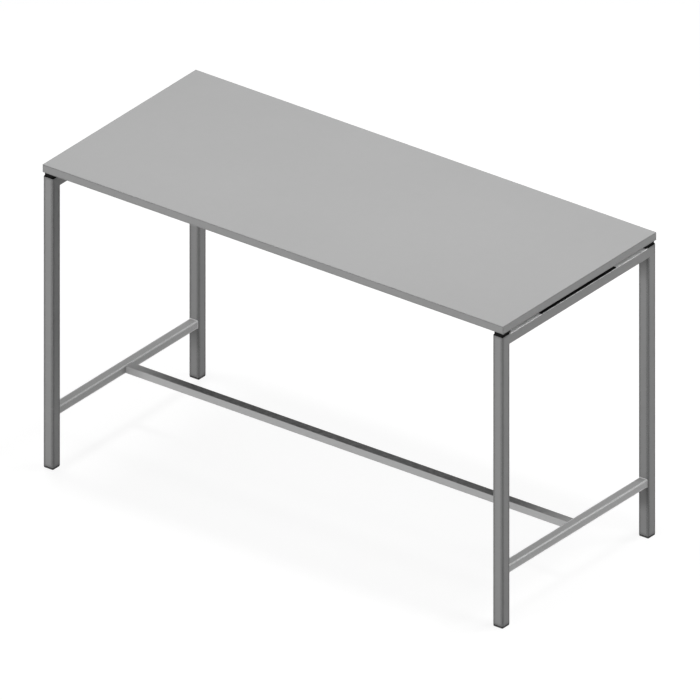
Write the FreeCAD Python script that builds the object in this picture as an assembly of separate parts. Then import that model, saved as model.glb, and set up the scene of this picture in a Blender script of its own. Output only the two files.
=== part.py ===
"""Standing meeting table: a board top floating over a welded square-tube frame with an H-shaped footrest.

Origin on the floor under the middle of the top. +X runs along the length, +Y to the back, +Z up.
Millimetres. Each sub-part is written to parts/NODE.step.
"""
import FreeCAD, Part
import math
import os

os.makedirs("parts", exist_ok=True)

# ------------------------------------------------------------------ driving dimensions
# Whole table
TABLE_LENGTH = 1800.0
TABLE_DEPTH = 793.0
TABLE_HEIGHT = 1067.0

# Top: a faced board with an edge band all round
TOP_THICKNESS = 27.0
BAND_THICKNESS = 2.0
BAND_EDGE_RADIUS = 1.0

# Frame
FRAME_END_INSET = 2.5        # from the short edges of the top to the outer faces of the legs
FRAME_SIDE_INSET = 0.5       # from the long edges of the top to the outer faces of the legs
SHADOW_GAP = 14.0            # from the top of the frame to the underside of the top
LEG_SIZE = 38.0
LEG_WALL = 2.0
LEG_CORNER_RADIUS = 3.5
CROSSBAR_HEIGHT = 36.0
CROSSBAR_WIDTH = 38.0
CROSSBAR_WALL = 2.0
CROSSBAR_CORNER_RADIUS = 3.0

# Footrest
FOOTREST_TOP_HEIGHT = 208.0
RAIL_WIDTH = 30.0
RAIL_HEIGHT = 27.0
RAIL_WALL = 1.5
RAIL_CORNER_RADIUS = 2.0
SPIGOT_CLEARANCE = 0.2
SPIGOT_WALL = 3.0
SPIGOT_LENGTH = 60.0
FOOTREST_SCREW_PITCH = 28.0

# Longitudinal beams under the top and the brackets that hang them on the crossbars
BEAM_HEIGHT = 50.0
BEAM_WIDTH = 25.0
BEAM_WALL = 2.0
BEAM_CORNER_RADIUS = 3.0
BEAM_SCREW_COUNT = 4
BEAM_SCREW_INSET = 175.0     # from the end of a beam to its first screw
PLATE_THICKNESS = 4.0
PLATE_EAR = 18.0             # how far an end plate stands out on each side of its beam
PLATE_CORNER_RADIUS = 5.0
BRACKET_LENGTH = 384.0
BRACKET_THICKNESS = 3.0
BRACKET_LIP = 8.0            # folded stiffening lip below the crossbar
BRACKET_BEND_RADIUS = 1.5
BRACKET_END_TO_BEAM = 42.0   # from the end of a bracket to the middle of the beam next to it
BRACKET_SLOT_TO_PLATE = 44.5
BRACKET_SLOT_WIDTH = 14.0

# M6 hardware
SCREW_RADIUS = 3.0
SCREW_HEAD_RADIUS = 5.25
SCREW_HEAD_HEIGHT = 3.3
SCREW_DOME_RADIUS = 4.2      # radius and height of the dome half way from its rim to its crown
SCREW_DOME_HEIGHT = 2.3
SCREW_HOLE_RADIUS = 3.3
SOCKET_ACROSS_FLATS = 4.0
SOCKET_DEPTH = 2.0
THREAD_PLAY = 0.05
BEAM_BOLT_LENGTH = 20.0
TOP_SCREW_LENGTH = 14.0
FOOTREST_SCREW_LENGTH = 8.0
ACCESS_HOLE_RADIUS = 7.0
RIVET_NUT_RADIUS = 4.5
RIVET_NUT_LENGTH = 15.0
RIVET_BULGE_RADIUS = 6.0
RIVET_BULGE_LENGTH = 3.0
INSERT_RADIUS = 5.0
INSERT_LENGTH = 14.0

# Leg caps
PLUG_CLEARANCE = 0.1         # between a plug's ribs and the bore of the leg
PLUG_RIB_DEPTH = 1.2
PLUG_RIB_THICKNESS = 1.4
PLUG_RIB_PITCH = 5.0
PLUG_WALL = 2.2
CAP_FLANGE_INSET = 0.5       # from the faces of the leg to the rim of the cap's flange
CAP_FLANGE_HEIGHT = 1.5
CAP_PLUG_DEPTH = 16.0
CAP_BLOCK_SIDE_INSET = 4.0   # from the end faces of the leg to the block that carries the top
CAP_BLOCK_FRONT_INSET = 1.5  # from the long side of the table to the block
CAP_BLOCK_OVERHANG = 9.0     # how far the block reaches over the crossbar
CAP_BLOCK_RADIUS = 2.0
CAP_ROOF = 3.0               # solid plastic between the hollow of the cap and the top
CAP_EDGE_CHAMFER = 0.6

# Levelling glides
PAD_INSET = 0.5
PAD_HEIGHT = 5.0
PAD_CHAMFER = 0.8
FLANGE_HEIGHT = 2.0
GLIDE_PLUG_DEPTH = 28.0
THREAD_RADIUS = 4.0          # M8 thread, drawn at its outer size
THREAD_RUNNING_FIT = 0.05
STEM_LENGTH = 44.0           # from the pad's pocket to the tip
STEM_TIP_CHAMFER = 1.0
HEX_ACROSS_FLATS = 13.0
HEX_HEIGHT = 4.5
HEX_CLEARANCE = 0.6
DISC_RADIUS = 8.0
DISC_HEIGHT = 1.6
DISC_CLEARANCE = 0.3
DISC_END_PLAY = 0.1
PAD_FLOOR = 1.5              # solid plastic under the disc

# Small allowances of the modelling itself
LEAST_CORNER_RADIUS = 0.3    # inside a tube whose wall is as thick as its outer radius
MATCH_TOLERANCE = 0.01

# ------------------------------------------------------------------ sizes that follow
HALF_LENGTH = TABLE_LENGTH / 2
HALF_DEPTH = TABLE_DEPTH / 2
TOP_UNDERSIDE = TABLE_HEIGHT - TOP_THICKNESS
FRAME_TOP = TOP_UNDERSIDE - SHADOW_GAP
LEG_BOTTOM = PAD_HEIGHT + FLANGE_HEIGHT
LEG_X = HALF_LENGTH - FRAME_END_INSET - LEG_SIZE / 2
LEG_Y = HALF_DEPTH - FRAME_SIDE_INSET - LEG_SIZE / 2
LEG_BORE = LEG_SIZE - 2 * LEG_WALL
LEG_INNER_Y = LEG_Y - LEG_SIZE / 2
CROSSBAR_X = HALF_LENGTH - FRAME_END_INSET - CROSSBAR_WIDTH / 2
CROSSBAR_INNER_X = CROSSBAR_X - CROSSBAR_WIDTH / 2
CROSSBAR_MID_Z = FRAME_TOP - CROSSBAR_HEIGHT / 2
RAIL_MID_Z = FOOTREST_TOP_HEIGHT - RAIL_HEIGHT / 2
RAIL_INNER_X = LEG_X - RAIL_WIDTH / 2
BRACKET_FACE_X = CROSSBAR_INNER_X - BRACKET_THICKNESS
BEAM_END_X = BRACKET_FACE_X - PLATE_THICKNESS
BEAM_MID_Z = TOP_UNDERSIDE - BEAM_HEIGHT / 2
PLATE_BOLT_Y = BEAM_WIDTH / 2 + PLATE_EAR / 2
BEAM_OFFSET = BRACKET_LENGTH / 2 - BRACKET_END_TO_BEAM
BRACKET_SLOT_LENGTH = 2 * (BEAM_OFFSET - BEAM_WIDTH / 2 - PLATE_EAR - BRACKET_SLOT_TO_PLATE)

X_AXIS = FreeCAD.Vector(1, 0, 0)
Y_AXIS = FreeCAD.Vector(0, 1, 0)
Z_AXIS = FreeCAD.Vector(0, 0, 1)
ORIGIN = FreeCAD.Vector(0, 0, 0)

SIDES = {"left": -1, "right": 1}
ROWS = {"front": -1, "back": 1}


# ------------------------------------------------------------------ shared shapes
def export(node, solids):
    """Write one node, from one solid or from a list of separate solids."""
    if isinstance(solids, list):
        shape = Part.makeCompound(solids) if len(solids) > 1 else solids[0]
    else:
        shape = solids
    for solid in shape.Solids:
        if not solid.isValid():
            raise ValueError("invalid solid in " + node)
    shape.exportStep("parts/" + node + ".step")
    print(node, len(shape.Solids), round(shape.Volume, 1))


def rounded_rectangle(width, depth, radius):
    """Face in the XY plane, centred on the origin, with four round corners."""
    edges = []
    inner_x = width / 2 - radius
    inner_y = depth / 2 - radius
    corners = [(inner_x, inner_y), (-inner_x, inner_y), (-inner_x, -inner_y), (inner_x, -inner_y)]
    arcs = []
    for quarter, (x, y) in enumerate(corners):
        circle = Part.Circle(FreeCAD.Vector(x, y, 0), Z_AXIS, radius)
        start = quarter * math.pi / 2
        arcs.append(Part.ArcOfCircle(circle, start, start + math.pi / 2))
    for quarter, arc in enumerate(arcs):
        following = arcs[(quarter + 1) % 4]
        edges.append(arc.toShape())
        edges.append(Part.makeLine(arc.EndPoint, following.StartPoint))
    return Part.Face(Part.Wire(edges))


def prism(width, depth, radius, bottom, height):
    """Upright bar with round corners, centred on the Z axis."""
    face = rounded_rectangle(width, depth, radius)
    face.translate(Z_AXIS * bottom)
    return face.extrude(Z_AXIS * height)


def tube(width, depth, wall, radius, length):
    """Rectangular tube on the Z axis, from z = -length/2 to length/2."""
    outer = rounded_rectangle(width, depth, radius)
    inner_radius = max(radius - wall, LEAST_CORNER_RADIUS)
    inner = rounded_rectangle(width - 2 * wall, depth - 2 * wall, inner_radius)
    ring = outer.cut(inner)
    ring.translate(Z_AXIS * (-length / 2))
    return ring.extrude(Z_AXIS * length).Solids[0]


def along_x(shape):
    """Lay an upright shape down along X. Its X size becomes its height."""
    laid = shape.copy()
    laid.rotate(ORIGIN, Y_AXIS, 90)
    return laid


def along_y(shape):
    """Lay an upright shape down along Y. Its Y size becomes its height."""
    laid = shape.copy()
    laid.rotate(ORIGIN, X_AXIS, -90)
    return laid


def same(first, second):
    """True where two places along an axis match."""
    return abs(first - second) < MATCH_TOLERANCE


def moved(shape, x, y, z):
    """Copy of a shape, moved."""
    copy = shape.copy()
    copy.translate(FreeCAD.Vector(x, y, z))
    return copy


def hexagon_radius(across_flats):
    """From the middle of a hexagon to its corners."""
    return across_flats / 2 / math.cos(math.pi / 6)


def hexagon_prism(across_flats, height):
    """Hexagonal prism standing on the XY plane."""
    corner_radius = hexagon_radius(across_flats)
    points = []
    for corner in range(7):
        angle = corner * math.pi / 3
        x = corner_radius * math.cos(angle)
        y = corner_radius * math.sin(angle)
        points.append(FreeCAD.Vector(x, y, 0))
    return Part.Face(Part.makePolygon(points)).extrude(Z_AXIS * height)


def button_screw(length):
    """M6 button-head screw. Its head sits below z = 0 and its shank stands up."""
    dome = [
        FreeCAD.Vector(0, 0, -SCREW_HEAD_HEIGHT),
        FreeCAD.Vector(SCREW_DOME_RADIUS, 0, -SCREW_DOME_HEIGHT),
        FreeCAD.Vector(SCREW_HEAD_RADIUS, 0, 0),
    ]
    arc = Part.Arc(*dome).toShape()
    under = Part.makeLine(dome[2], ORIGIN)
    axis = Part.makeLine(ORIGIN, dome[0])
    head = Part.Face(Part.Wire([arc, under, axis])).revolve(ORIGIN, Z_AXIS, 360)
    socket = moved(hexagon_prism(SOCKET_ACROSS_FLATS, SOCKET_DEPTH), 0, 0, -SCREW_HEAD_HEIGHT)
    shank = Part.makeCylinder(SCREW_RADIUS, length)
    return head.cut(socket).fuse(shank).removeSplitter().Solids[0]


def ribbed_plug(depth):
    """Solid core with thin square ribs that grip the bore of a leg, hanging from z = 0 to -depth."""
    rib_size = LEG_BORE - 2 * PLUG_CLEARANCE
    core_size = rib_size - 2 * PLUG_RIB_DEPTH
    radius = LEG_CORNER_RADIUS - LEG_WALL
    plug = prism(core_size, core_size, radius, -depth, depth)
    rib_count = int((depth - PLUG_RIB_THICKNESS) // PLUG_RIB_PITCH)
    for rib in range(1, rib_count + 1):
        ring = prism(rib_size, rib_size, radius, -rib * PLUG_RIB_PITCH, PLUG_RIB_THICKNESS)
        plug = plug.fuse(ring)
    return plug.removeSplitter().Solids[0]


# ------------------------------------------------------------------ top
def beam_screw_places():
    """X of each screw along a beam, evenly spread."""
    first = BEAM_END_X - BEAM_SCREW_INSET
    step = 2 * first / (BEAM_SCREW_COUNT - 1)
    return [-first + step * number for number in range(BEAM_SCREW_COUNT)]


def make_board():
    """Core board with blind holes in its underside for the threaded inserts."""
    length = TABLE_LENGTH - 2 * BAND_THICKNESS
    depth = TABLE_DEPTH - 2 * BAND_THICKNESS
    corner = FreeCAD.Vector(-length / 2, -depth / 2, TOP_UNDERSIDE)
    board = Part.makeBox(length, depth, TOP_THICKNESS, corner)
    for x in beam_screw_places():
        for row in ROWS.values():
            place = FreeCAD.Vector(x, row * BEAM_OFFSET, TOP_UNDERSIDE)
            board = board.cut(Part.makeCylinder(INSERT_RADIUS, INSERT_LENGTH, place))
    return board


def make_inserts():
    """Threaded inserts, flush with the underside of the board."""
    inserts = []
    sleeve = Part.makeCylinder(INSERT_RADIUS, INSERT_LENGTH)
    sleeve = sleeve.cut(Part.makeCylinder(SCREW_RADIUS + THREAD_PLAY, INSERT_LENGTH))
    for x in beam_screw_places():
        for row in ROWS.values():
            inserts.append(moved(sleeve, x, row * BEAM_OFFSET, TOP_UNDERSIDE))
    return inserts


def make_band(length, turn, distance, round_ends):
    """Edge band with eased outer edges, turned about Z and pushed out to its side of the top."""
    corner = FreeCAD.Vector(-length / 2, 0, TOP_UNDERSIDE)
    band = Part.makeBox(length, BAND_THICKNESS, TOP_THICKNESS, corner)
    outer_edges = []
    for edge in band.Edges:
        is_long = edge.Length > length / 2
        is_upright = same(edge.Length, TOP_THICKNESS)
        if same(edge.CenterOfMass.y, BAND_THICKNESS) and (is_long or (is_upright and round_ends)):
            outer_edges.append(edge)
    band = band.makeFillet(BAND_EDGE_RADIUS, outer_edges)
    band.translate(Y_AXIS * (distance - BAND_THICKNESS))
    band.rotate(ORIGIN, Z_AXIS, turn)
    return band


def export_top():
    export("tabletop_board", make_board())
    export("tabletop_inserts", make_inserts())
    between = TABLE_DEPTH - 2 * BAND_THICKNESS
    export("edge_band_back", make_band(TABLE_LENGTH, 0, HALF_DEPTH, True))
    export("edge_band_front", make_band(TABLE_LENGTH, 180, HALF_DEPTH, True))
    export("edge_band_left", make_band(between, 90, HALF_LENGTH, False))
    export("edge_band_right", make_band(between, -90, HALF_LENGTH, False))


# ------------------------------------------------------------------ end frames
def export_legs():
    length = FRAME_TOP - LEG_BOTTOM
    leg = tube(LEG_SIZE, LEG_SIZE, LEG_WALL, LEG_CORNER_RADIUS, length)
    for row_name, row in ROWS.items():
        for side_name, side in SIDES.items():
            place = (side * LEG_X, row * LEG_Y, LEG_BOTTOM + length / 2)
            export("leg_" + row_name + "_" + side_name, moved(leg, *place))


def bracket_bolt_places():
    """Y of each bolt that clamps the beams' end plates, the bracket and the crossbar."""
    places = []
    for row in ROWS.values():
        for ear in (-1, 1):
            places.append(row * BEAM_OFFSET + ear * PLATE_BOLT_Y)
    return places


def bolt_holes(radius, start_x, depth):
    """Cutters along X through the four bolt places of the right end."""
    cutters = []
    for y in bracket_bolt_places():
        start = FreeCAD.Vector(start_x, y, CROSSBAR_MID_Z)
        cutters.append(Part.makeCylinder(radius, depth, start, X_AXIS))
    return cutters


def at_both_ends(make_right):
    """The right-hand shape, and its half turn about Z for the left end."""
    left = make_right.copy()
    left.rotate(ORIGIN, Z_AXIS, 180)
    return {"right": make_right, "left": left}


def make_crossbar():
    """Crossbar of the right end frame, butted and welded between the two legs."""
    length = 2 * LEG_INNER_Y
    bar = tube(CROSSBAR_WIDTH, CROSSBAR_HEIGHT, CROSSBAR_WALL, CROSSBAR_CORNER_RADIUS, length)
    bar = moved(along_y(bar), CROSSBAR_X, 0, CROSSBAR_MID_Z)
    for cutter in bolt_holes(RIVET_NUT_RADIUS, CROSSBAR_INNER_X - CROSSBAR_WALL, 2 * CROSSBAR_WALL):
        bar = bar.cut(cutter)
    return bar


def make_footrest_end_rail():
    """Lower rail of the right end frame, welded between the legs on their middle line."""
    rail = along_y(tube(RAIL_WIDTH, RAIL_HEIGHT, RAIL_WALL, RAIL_CORNER_RADIUS, 2 * LEG_INNER_Y))
    return moved(rail, LEG_X, 0, RAIL_MID_Z)


def make_leg_cap():
    """Black cap of a front leg: ribbed plug, flange on the rim, and a block that the top rests on."""
    flange_size = LEG_SIZE - 2 * CAP_FLANGE_INSET
    flange = prism(flange_size, flange_size, LEG_CORNER_RADIUS, 0, CAP_FLANGE_HEIGHT)
    block_width = LEG_SIZE - 2 * CAP_BLOCK_SIDE_INSET
    block_depth = LEG_SIZE - CAP_BLOCK_FRONT_INSET + CAP_BLOCK_OVERHANG
    block = prism(block_width, block_depth, CAP_BLOCK_RADIUS, 0, SHADOW_GAP)
    rim = [edge for edge in block.Edges if edge.CenterOfMass.z > SHADOW_GAP - CAP_EDGE_CHAMFER]
    block = block.makeChamfer(CAP_EDGE_CHAMFER, rim)
    block.translate(Y_AXIS * ((CAP_BLOCK_OVERHANG + CAP_BLOCK_FRONT_INSET) / 2))
    cap = block.fuse([flange, ribbed_plug(CAP_PLUG_DEPTH)]).removeSplitter()
    hollow = LEG_BORE - 2 * (PLUG_CLEARANCE + PLUG_RIB_DEPTH + PLUG_WALL)
    recess_depth = CAP_PLUG_DEPTH + SHADOW_GAP - CAP_ROOF
    recess = prism(hollow, hollow, LEG_CORNER_RADIUS - LEG_WALL, -CAP_PLUG_DEPTH, recess_depth)
    return cap.cut(recess).Solids[0]


def export_end_frames():
    export_legs()
    for side_name, shape in at_both_ends(make_crossbar()).items():
        export("crossbar_" + side_name, shape)
    for side_name, shape in at_both_ends(make_footrest_end_rail()).items():
        export("footrest_rail_" + side_name, shape)
    cap = make_leg_cap()
    for row_name, row in ROWS.items():
        if row > 0:
            cap.rotate(ORIGIN, Z_AXIS, 180)
        for side_name, side in SIDES.items():
            place = (side * LEG_X, row * LEG_Y, FRAME_TOP)
            export("leg_cap_" + row_name + "_" + side_name, moved(cap, *place))


# ------------------------------------------------------------------ beams and brackets
def make_slot_cutter():
    """Cutter for the slot in the middle of the right bracket, with round ends, along Y."""
    between_ends = BRACKET_SLOT_LENGTH - BRACKET_SLOT_WIDTH
    corner = FreeCAD.Vector(-BRACKET_SLOT_WIDTH / 2, -between_ends / 2, 0)
    cutter = Part.makeBox(BRACKET_SLOT_WIDTH, between_ends, BRACKET_THICKNESS, corner)
    for end in (-1, 1):
        middle = FreeCAD.Vector(0, end * between_ends / 2, 0)
        cutter = cutter.fuse(Part.makeCylinder(BRACKET_SLOT_WIDTH / 2, BRACKET_THICKNESS, middle))
    return moved(along_x(cutter.removeSplitter()), BRACKET_FACE_X, 0, CROSSBAR_MID_Z)


def make_bracket():
    """Folded steel bracket: it lies on the crossbar, drops down its inner face and ends in a lip."""
    outer_x = CROSSBAR_X + CROSSBAR_WIDTH / 2
    top = FRAME_TOP + BRACKET_THICKNESS
    bottom = FRAME_TOP - CROSSBAR_HEIGHT
    outline = [
        (outer_x, FRAME_TOP),
        (outer_x, top),
        (BRACKET_FACE_X, top),
        (BRACKET_FACE_X, bottom),
        (BRACKET_FACE_X - BRACKET_LIP, bottom),
        (BRACKET_FACE_X - BRACKET_LIP, bottom - BRACKET_THICKNESS),
        (CROSSBAR_INNER_X, bottom - BRACKET_THICKNESS),
        (CROSSBAR_INNER_X, FRAME_TOP),
        (outer_x, FRAME_TOP),
    ]
    points = [FreeCAD.Vector(x, -BRACKET_LENGTH / 2, z) for x, z in outline]
    bracket = Part.Face(Part.makePolygon(points)).extrude(Y_AXIS * BRACKET_LENGTH)
    bends = []
    for edge in bracket.Edges:
        middle = edge.CenterOfMass
        at_top_bend = same(middle.x, BRACKET_FACE_X) and same(middle.z, top)
        at_low_bend = same(middle.x, CROSSBAR_INNER_X) and middle.z < bottom
        if same(middle.y, 0) and (at_top_bend or at_low_bend):
            bends.append(edge)
    bracket = bracket.makeFillet(BRACKET_BEND_RADIUS, bends)
    for cutter in bolt_holes(SCREW_HOLE_RADIUS, BRACKET_FACE_X - BRACKET_THICKNESS, 2 * BRACKET_THICKNESS):
        bracket = bracket.cut(cutter)
    return bracket.cut(make_slot_cutter()).Solids[0]


def make_beam(row):
    """Rectangular tube under the top, with screw holes above and wider access holes below."""
    beam = tube(BEAM_HEIGHT, BEAM_WIDTH, BEAM_WALL, BEAM_CORNER_RADIUS, 2 * BEAM_END_X)
    beam = moved(along_x(beam), 0, row * BEAM_OFFSET, BEAM_MID_Z)
    for x in beam_screw_places():
        above = FreeCAD.Vector(x, row * BEAM_OFFSET, TOP_UNDERSIDE - 2 * BEAM_WALL)
        below = FreeCAD.Vector(x, row * BEAM_OFFSET, TOP_UNDERSIDE - BEAM_HEIGHT - BEAM_WALL)
        beam = beam.cut(Part.makeCylinder(SCREW_HOLE_RADIUS, 2 * BEAM_WALL, above))
        beam = beam.cut(Part.makeCylinder(ACCESS_HOLE_RADIUS, 3 * BEAM_WALL, below))
    return beam


def make_end_plate(row):
    """Plate welded over the right end of a beam, with one bolt hole in each ear."""
    width = BEAM_WIDTH + 2 * PLATE_EAR
    plate = along_x(prism(BEAM_HEIGHT, width, PLATE_CORNER_RADIUS, 0, PLATE_THICKNESS))
    plate = moved(plate, BEAM_END_X, row * BEAM_OFFSET, BEAM_MID_Z)
    for cutter in bolt_holes(SCREW_HOLE_RADIUS, BEAM_END_X - PLATE_THICKNESS, 3 * PLATE_THICKNESS):
        plate = plate.cut(cutter)
    return plate


def make_bolts_and_nuts():
    """Button-head bolts at the right end, and the rivet nuts in the crossbar that they screw into."""
    bolt = along_x(button_screw(BEAM_BOLT_LENGTH))
    sleeve = Part.makeCylinder(RIVET_NUT_RADIUS, RIVET_NUT_LENGTH)
    behind_wall = FreeCAD.Vector(0, 0, CROSSBAR_WALL)
    bulge = Part.makeCylinder(RIVET_BULGE_RADIUS, RIVET_BULGE_LENGTH, behind_wall)
    bore = Part.makeCylinder(SCREW_RADIUS + THREAD_PLAY, RIVET_NUT_LENGTH)
    nut = along_x(sleeve.fuse(bulge).removeSplitter().cut(bore))
    bolts = []
    nuts = []
    for y in bracket_bolt_places():
        bolts.append(moved(bolt, BEAM_END_X, y, CROSSBAR_MID_Z))
        nuts.append(moved(nut, CROSSBAR_INNER_X, y, CROSSBAR_MID_Z))
    return bolts, nuts


def export_beams():
    for side_name, shape in at_both_ends(make_bracket()).items():
        export("beam_bracket_" + side_name, shape)
    for row_name, row in ROWS.items():
        export("beam_" + row_name, make_beam(row))
        export("beam_plate_" + row_name + "_right", make_end_plate(row))
        turned = make_end_plate(-row)
        turned.rotate(ORIGIN, Z_AXIS, 180)
        export("beam_plate_" + row_name + "_left", turned)
    bolts, nuts = make_bolts_and_nuts()
    both_bolts = at_both_ends(Part.makeCompound(bolts))
    both_nuts = at_both_ends(Part.makeCompound(nuts))
    export("beam_bolts", both_bolts["right"].Solids + both_bolts["left"].Solids)
    export("crossbar_rivet_nuts", both_nuts["right"].Solids + both_nuts["left"].Solids)
    screw = button_screw(TOP_SCREW_LENGTH)
    screws = []
    for x in beam_screw_places():
        for row in ROWS.values():
            screws.append(moved(screw, x, row * BEAM_OFFSET, TOP_UNDERSIDE - BEAM_WALL))
    export("tabletop_screws", screws)


# ------------------------------------------------------------------ footrest
def footrest_screw_places():
    """X of the two screws that lock the long rail on the right spigot."""
    middle = RAIL_INNER_X - SPIGOT_LENGTH / 2
    return [middle - FOOTREST_SCREW_PITCH / 2, middle + FOOTREST_SCREW_PITCH / 2]


def make_long_rail():
    """Rail along the middle of the table, pushed over a spigot at each end."""
    rail = tube(RAIL_HEIGHT, RAIL_WIDTH, RAIL_WALL, RAIL_CORNER_RADIUS, 2 * RAIL_INNER_X)
    rail = moved(along_x(rail), 0, 0, RAIL_MID_Z)
    underside = RAIL_MID_Z - RAIL_HEIGHT / 2
    for x in footrest_screw_places():
        for side in SIDES.values():
            start = FreeCAD.Vector(side * x, 0, underside - RAIL_WALL)
            rail = rail.cut(Part.makeCylinder(SCREW_HOLE_RADIUS, 3 * RAIL_WALL, start))
    return rail


def make_spigot():
    """Thick-walled stub, welded to the inner face of the right end rail, that fills the long rail."""
    shrink = 2 * (RAIL_WALL + SPIGOT_CLEARANCE)
    height = RAIL_HEIGHT - shrink
    width = RAIL_WIDTH - shrink
    stub = tube(height, width, SPIGOT_WALL, RAIL_CORNER_RADIUS, SPIGOT_LENGTH)
    stub = moved(along_x(stub), RAIL_INNER_X - SPIGOT_LENGTH / 2, 0, RAIL_MID_Z)
    underside = RAIL_MID_Z - RAIL_HEIGHT / 2
    for x in footrest_screw_places():
        start = FreeCAD.Vector(x, 0, underside)
        stub = stub.cut(Part.makeCylinder(SCREW_RADIUS + THREAD_PLAY, 3 * SPIGOT_WALL, start))
    return stub


def export_footrest():
    export("footrest_long_rail", make_long_rail())
    for side_name, shape in at_both_ends(make_spigot()).items():
        export("footrest_spigot_" + side_name, shape)
    screw = button_screw(FOOTREST_SCREW_LENGTH)
    screws = []
    for x in footrest_screw_places():
        for side in SIDES.values():
            screws.append(moved(screw, side * x, 0, RAIL_MID_Z - RAIL_HEIGHT / 2))
    export("footrest_screws", screws)


# ------------------------------------------------------------------ levelling glides
def make_glide_insert():
    """Foot insert: flange under the end of the leg, ribbed plug, threaded hole and a recess for the hex."""
    flange = prism(LEG_SIZE, LEG_SIZE, LEG_CORNER_RADIUS, -FLANGE_HEIGHT, FLANGE_HEIGHT)
    plug = ribbed_plug(GLIDE_PLUG_DEPTH)
    plug.rotate(ORIGIN, X_AXIS, 180)
    insert = flange.fuse(plug).removeSplitter()
    underside = FreeCAD.Vector(0, 0, -FLANGE_HEIGHT)
    thread = Part.makeCylinder(THREAD_RADIUS, GLIDE_PLUG_DEPTH + FLANGE_HEIGHT, underside)
    recess_radius = hexagon_radius(HEX_ACROSS_FLATS) + HEX_CLEARANCE
    recess = Part.makeCylinder(recess_radius, HEX_HEIGHT + HEX_CLEARANCE, underside)
    return insert.cut(thread).cut(recess).Solids[0]


def make_glide_pad():
    """Square foot pad with a pocket in which the disc of the stem is held and turns."""
    size = LEG_SIZE - 2 * PAD_INSET
    pad = prism(size, size, LEG_CORNER_RADIUS, 0, PAD_HEIGHT)
    sole_edges = [edge for edge in pad.Edges if edge.CenterOfMass.z < PAD_CHAMFER / 2]
    pad = pad.makeChamfer(PAD_CHAMFER, sole_edges)
    pocket_floor = FreeCAD.Vector(0, 0, PAD_FLOOR)
    pocket_height = DISC_HEIGHT + 2 * DISC_END_PLAY
    pocket = Part.makeCylinder(DISC_RADIUS + DISC_CLEARANCE, pocket_height, pocket_floor)
    neck = Part.makeCylinder(THREAD_RADIUS + DISC_CLEARANCE, PAD_HEIGHT, pocket_floor)
    return pad.cut(pocket).cut(neck).Solids[0]


def make_glide_stem():
    """Threaded stem: a disc held in the pad, a neck, a hex for the spanner, and the thread."""
    shank_radius = THREAD_RADIUS - THREAD_RUNNING_FIT
    disc_bottom = FreeCAD.Vector(0, 0, PAD_FLOOR + DISC_END_PLAY)
    disc = Part.makeCylinder(DISC_RADIUS, DISC_HEIGHT, disc_bottom)
    shank = Part.makeCylinder(shank_radius, STEM_LENGTH, disc_bottom)
    tip = [edge for edge in shank.Edges if edge.CenterOfMass.z > STEM_LENGTH]
    shank = shank.makeChamfer(STEM_TIP_CHAMFER, tip)
    spanner_hex = moved(hexagon_prism(HEX_ACROSS_FLATS, HEX_HEIGHT), 0, 0, PAD_HEIGHT)
    return disc.fuse([shank, spanner_hex]).removeSplitter().Solids[0]


def export_glides():
    insert = make_glide_insert()
    pad = make_glide_pad()
    stem = make_glide_stem()
    for row_name, row in ROWS.items():
        for side_name, side in SIDES.items():
            corner = row_name + "_" + side_name
            x = side * LEG_X
            y = row * LEG_Y
            export("glide_insert_" + corner, moved(insert, x, y, LEG_BOTTOM))
            export("glide_pad_" + corner, moved(pad, x, y, 0))
            export("glide_stem_" + corner, moved(stem, x, y, 0))


export_top()
export_end_frames()
export_beams()
export_footrest()
export_glides()
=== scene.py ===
"""Looks of a standing meeting table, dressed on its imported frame.

The rigid pieces come from the frame and keep their shape. This script gives each one its finish, adds the
welds and the cut threads that are too fine for the frame, and sets up a plain studio. Sizes are in metres.
"""
import logging
import math
from abc import ABC, abstractmethod
from dataclasses import dataclass, field
from enum import Enum
from functools import partial, reduce
from typing import Iterable, Sequence

import bmesh
import bpy
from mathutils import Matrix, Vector

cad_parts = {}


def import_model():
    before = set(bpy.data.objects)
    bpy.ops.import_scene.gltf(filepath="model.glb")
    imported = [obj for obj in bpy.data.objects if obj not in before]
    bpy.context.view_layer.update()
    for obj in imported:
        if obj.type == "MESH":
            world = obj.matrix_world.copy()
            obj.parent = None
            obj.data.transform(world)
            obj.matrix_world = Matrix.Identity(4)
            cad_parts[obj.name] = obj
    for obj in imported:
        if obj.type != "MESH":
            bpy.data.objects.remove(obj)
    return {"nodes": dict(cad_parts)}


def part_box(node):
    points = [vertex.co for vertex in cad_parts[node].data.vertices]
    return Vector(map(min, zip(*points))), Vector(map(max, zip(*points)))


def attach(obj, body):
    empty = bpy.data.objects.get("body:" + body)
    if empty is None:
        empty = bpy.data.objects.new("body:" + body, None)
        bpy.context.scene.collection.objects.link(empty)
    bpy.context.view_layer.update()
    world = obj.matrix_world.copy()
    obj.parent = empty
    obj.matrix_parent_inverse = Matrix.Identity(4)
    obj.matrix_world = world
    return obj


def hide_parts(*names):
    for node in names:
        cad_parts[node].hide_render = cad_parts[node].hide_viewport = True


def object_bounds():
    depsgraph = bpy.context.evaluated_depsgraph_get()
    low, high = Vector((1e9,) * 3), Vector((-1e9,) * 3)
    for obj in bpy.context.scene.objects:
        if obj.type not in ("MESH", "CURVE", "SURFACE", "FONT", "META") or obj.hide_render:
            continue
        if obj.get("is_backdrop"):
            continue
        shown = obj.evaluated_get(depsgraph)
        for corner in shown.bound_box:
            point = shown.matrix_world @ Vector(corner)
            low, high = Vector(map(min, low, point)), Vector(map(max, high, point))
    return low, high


LOG = logging.getLogger("meeting_table")
MM = 0.001
FULL_TURN = 2 * math.pi
QUARTER_TURN = math.pi / 2
ROOT = "root"
WHITE = (1.0, 1.0, 1.0, 1.0)
Colour = tuple[float, float, float]
Span = tuple[float, float]
Socket = bpy.types.NodeSocket
Value = Socket | float | Sequence[float]


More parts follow.
